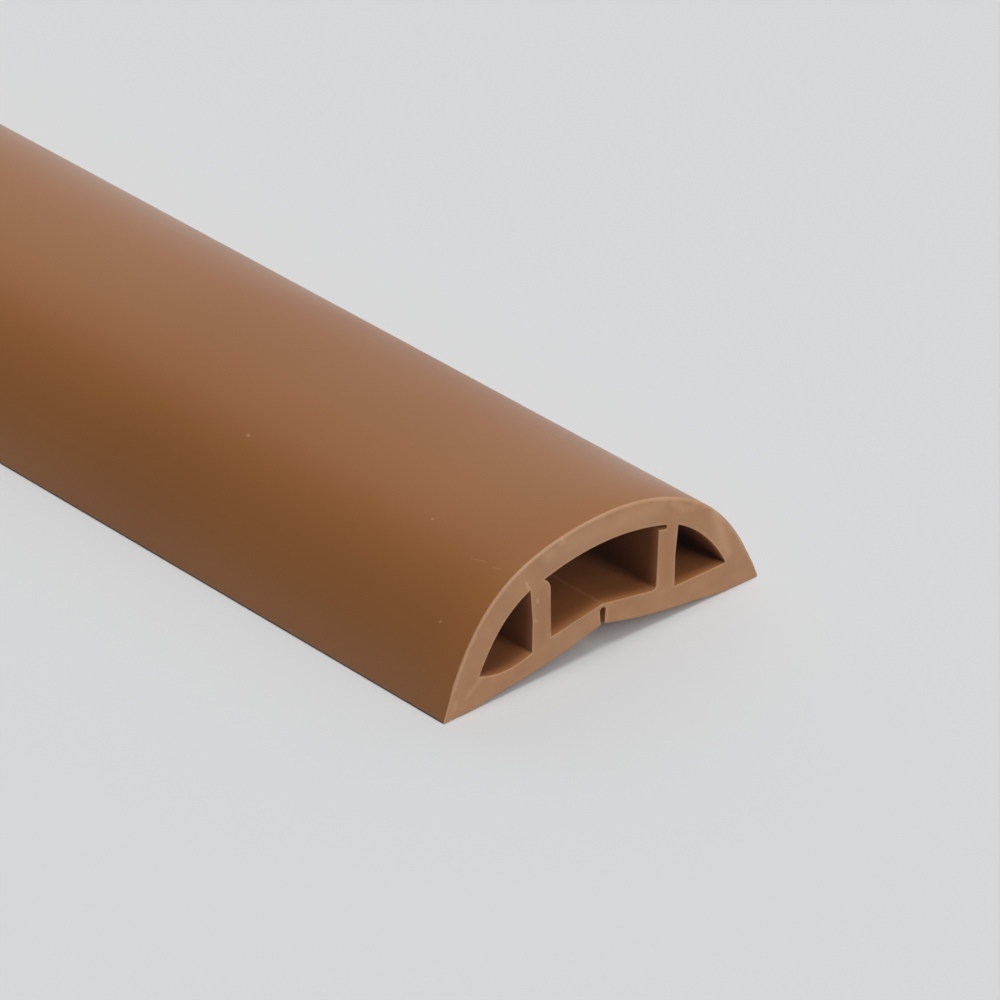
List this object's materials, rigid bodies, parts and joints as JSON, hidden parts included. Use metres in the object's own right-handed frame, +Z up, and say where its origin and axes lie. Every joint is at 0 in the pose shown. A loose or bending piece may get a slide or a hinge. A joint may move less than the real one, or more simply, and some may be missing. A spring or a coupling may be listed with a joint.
{
  "type": "floor cord cover",
  "caption": "Half-round soft floor cord cover, a length of extruded stock with cord channels and a slit in its arched base.",
  "frame": {"origin": "on the floor, below the middle of the length and of the width", "axes": "+X along the length of the stock, towards the cut end that the picture shows, +Y across the width, +Z up"},
  "size_m": [0.9144, 0.0636, 0.0233],
  "materials": {
    "soft_vinyl": "satin, extruded, through-coloured brown"
  },
  "bodies": {
    "root": {"cord_cover": "soft_vinyl"}
  },
  "joints": []
}
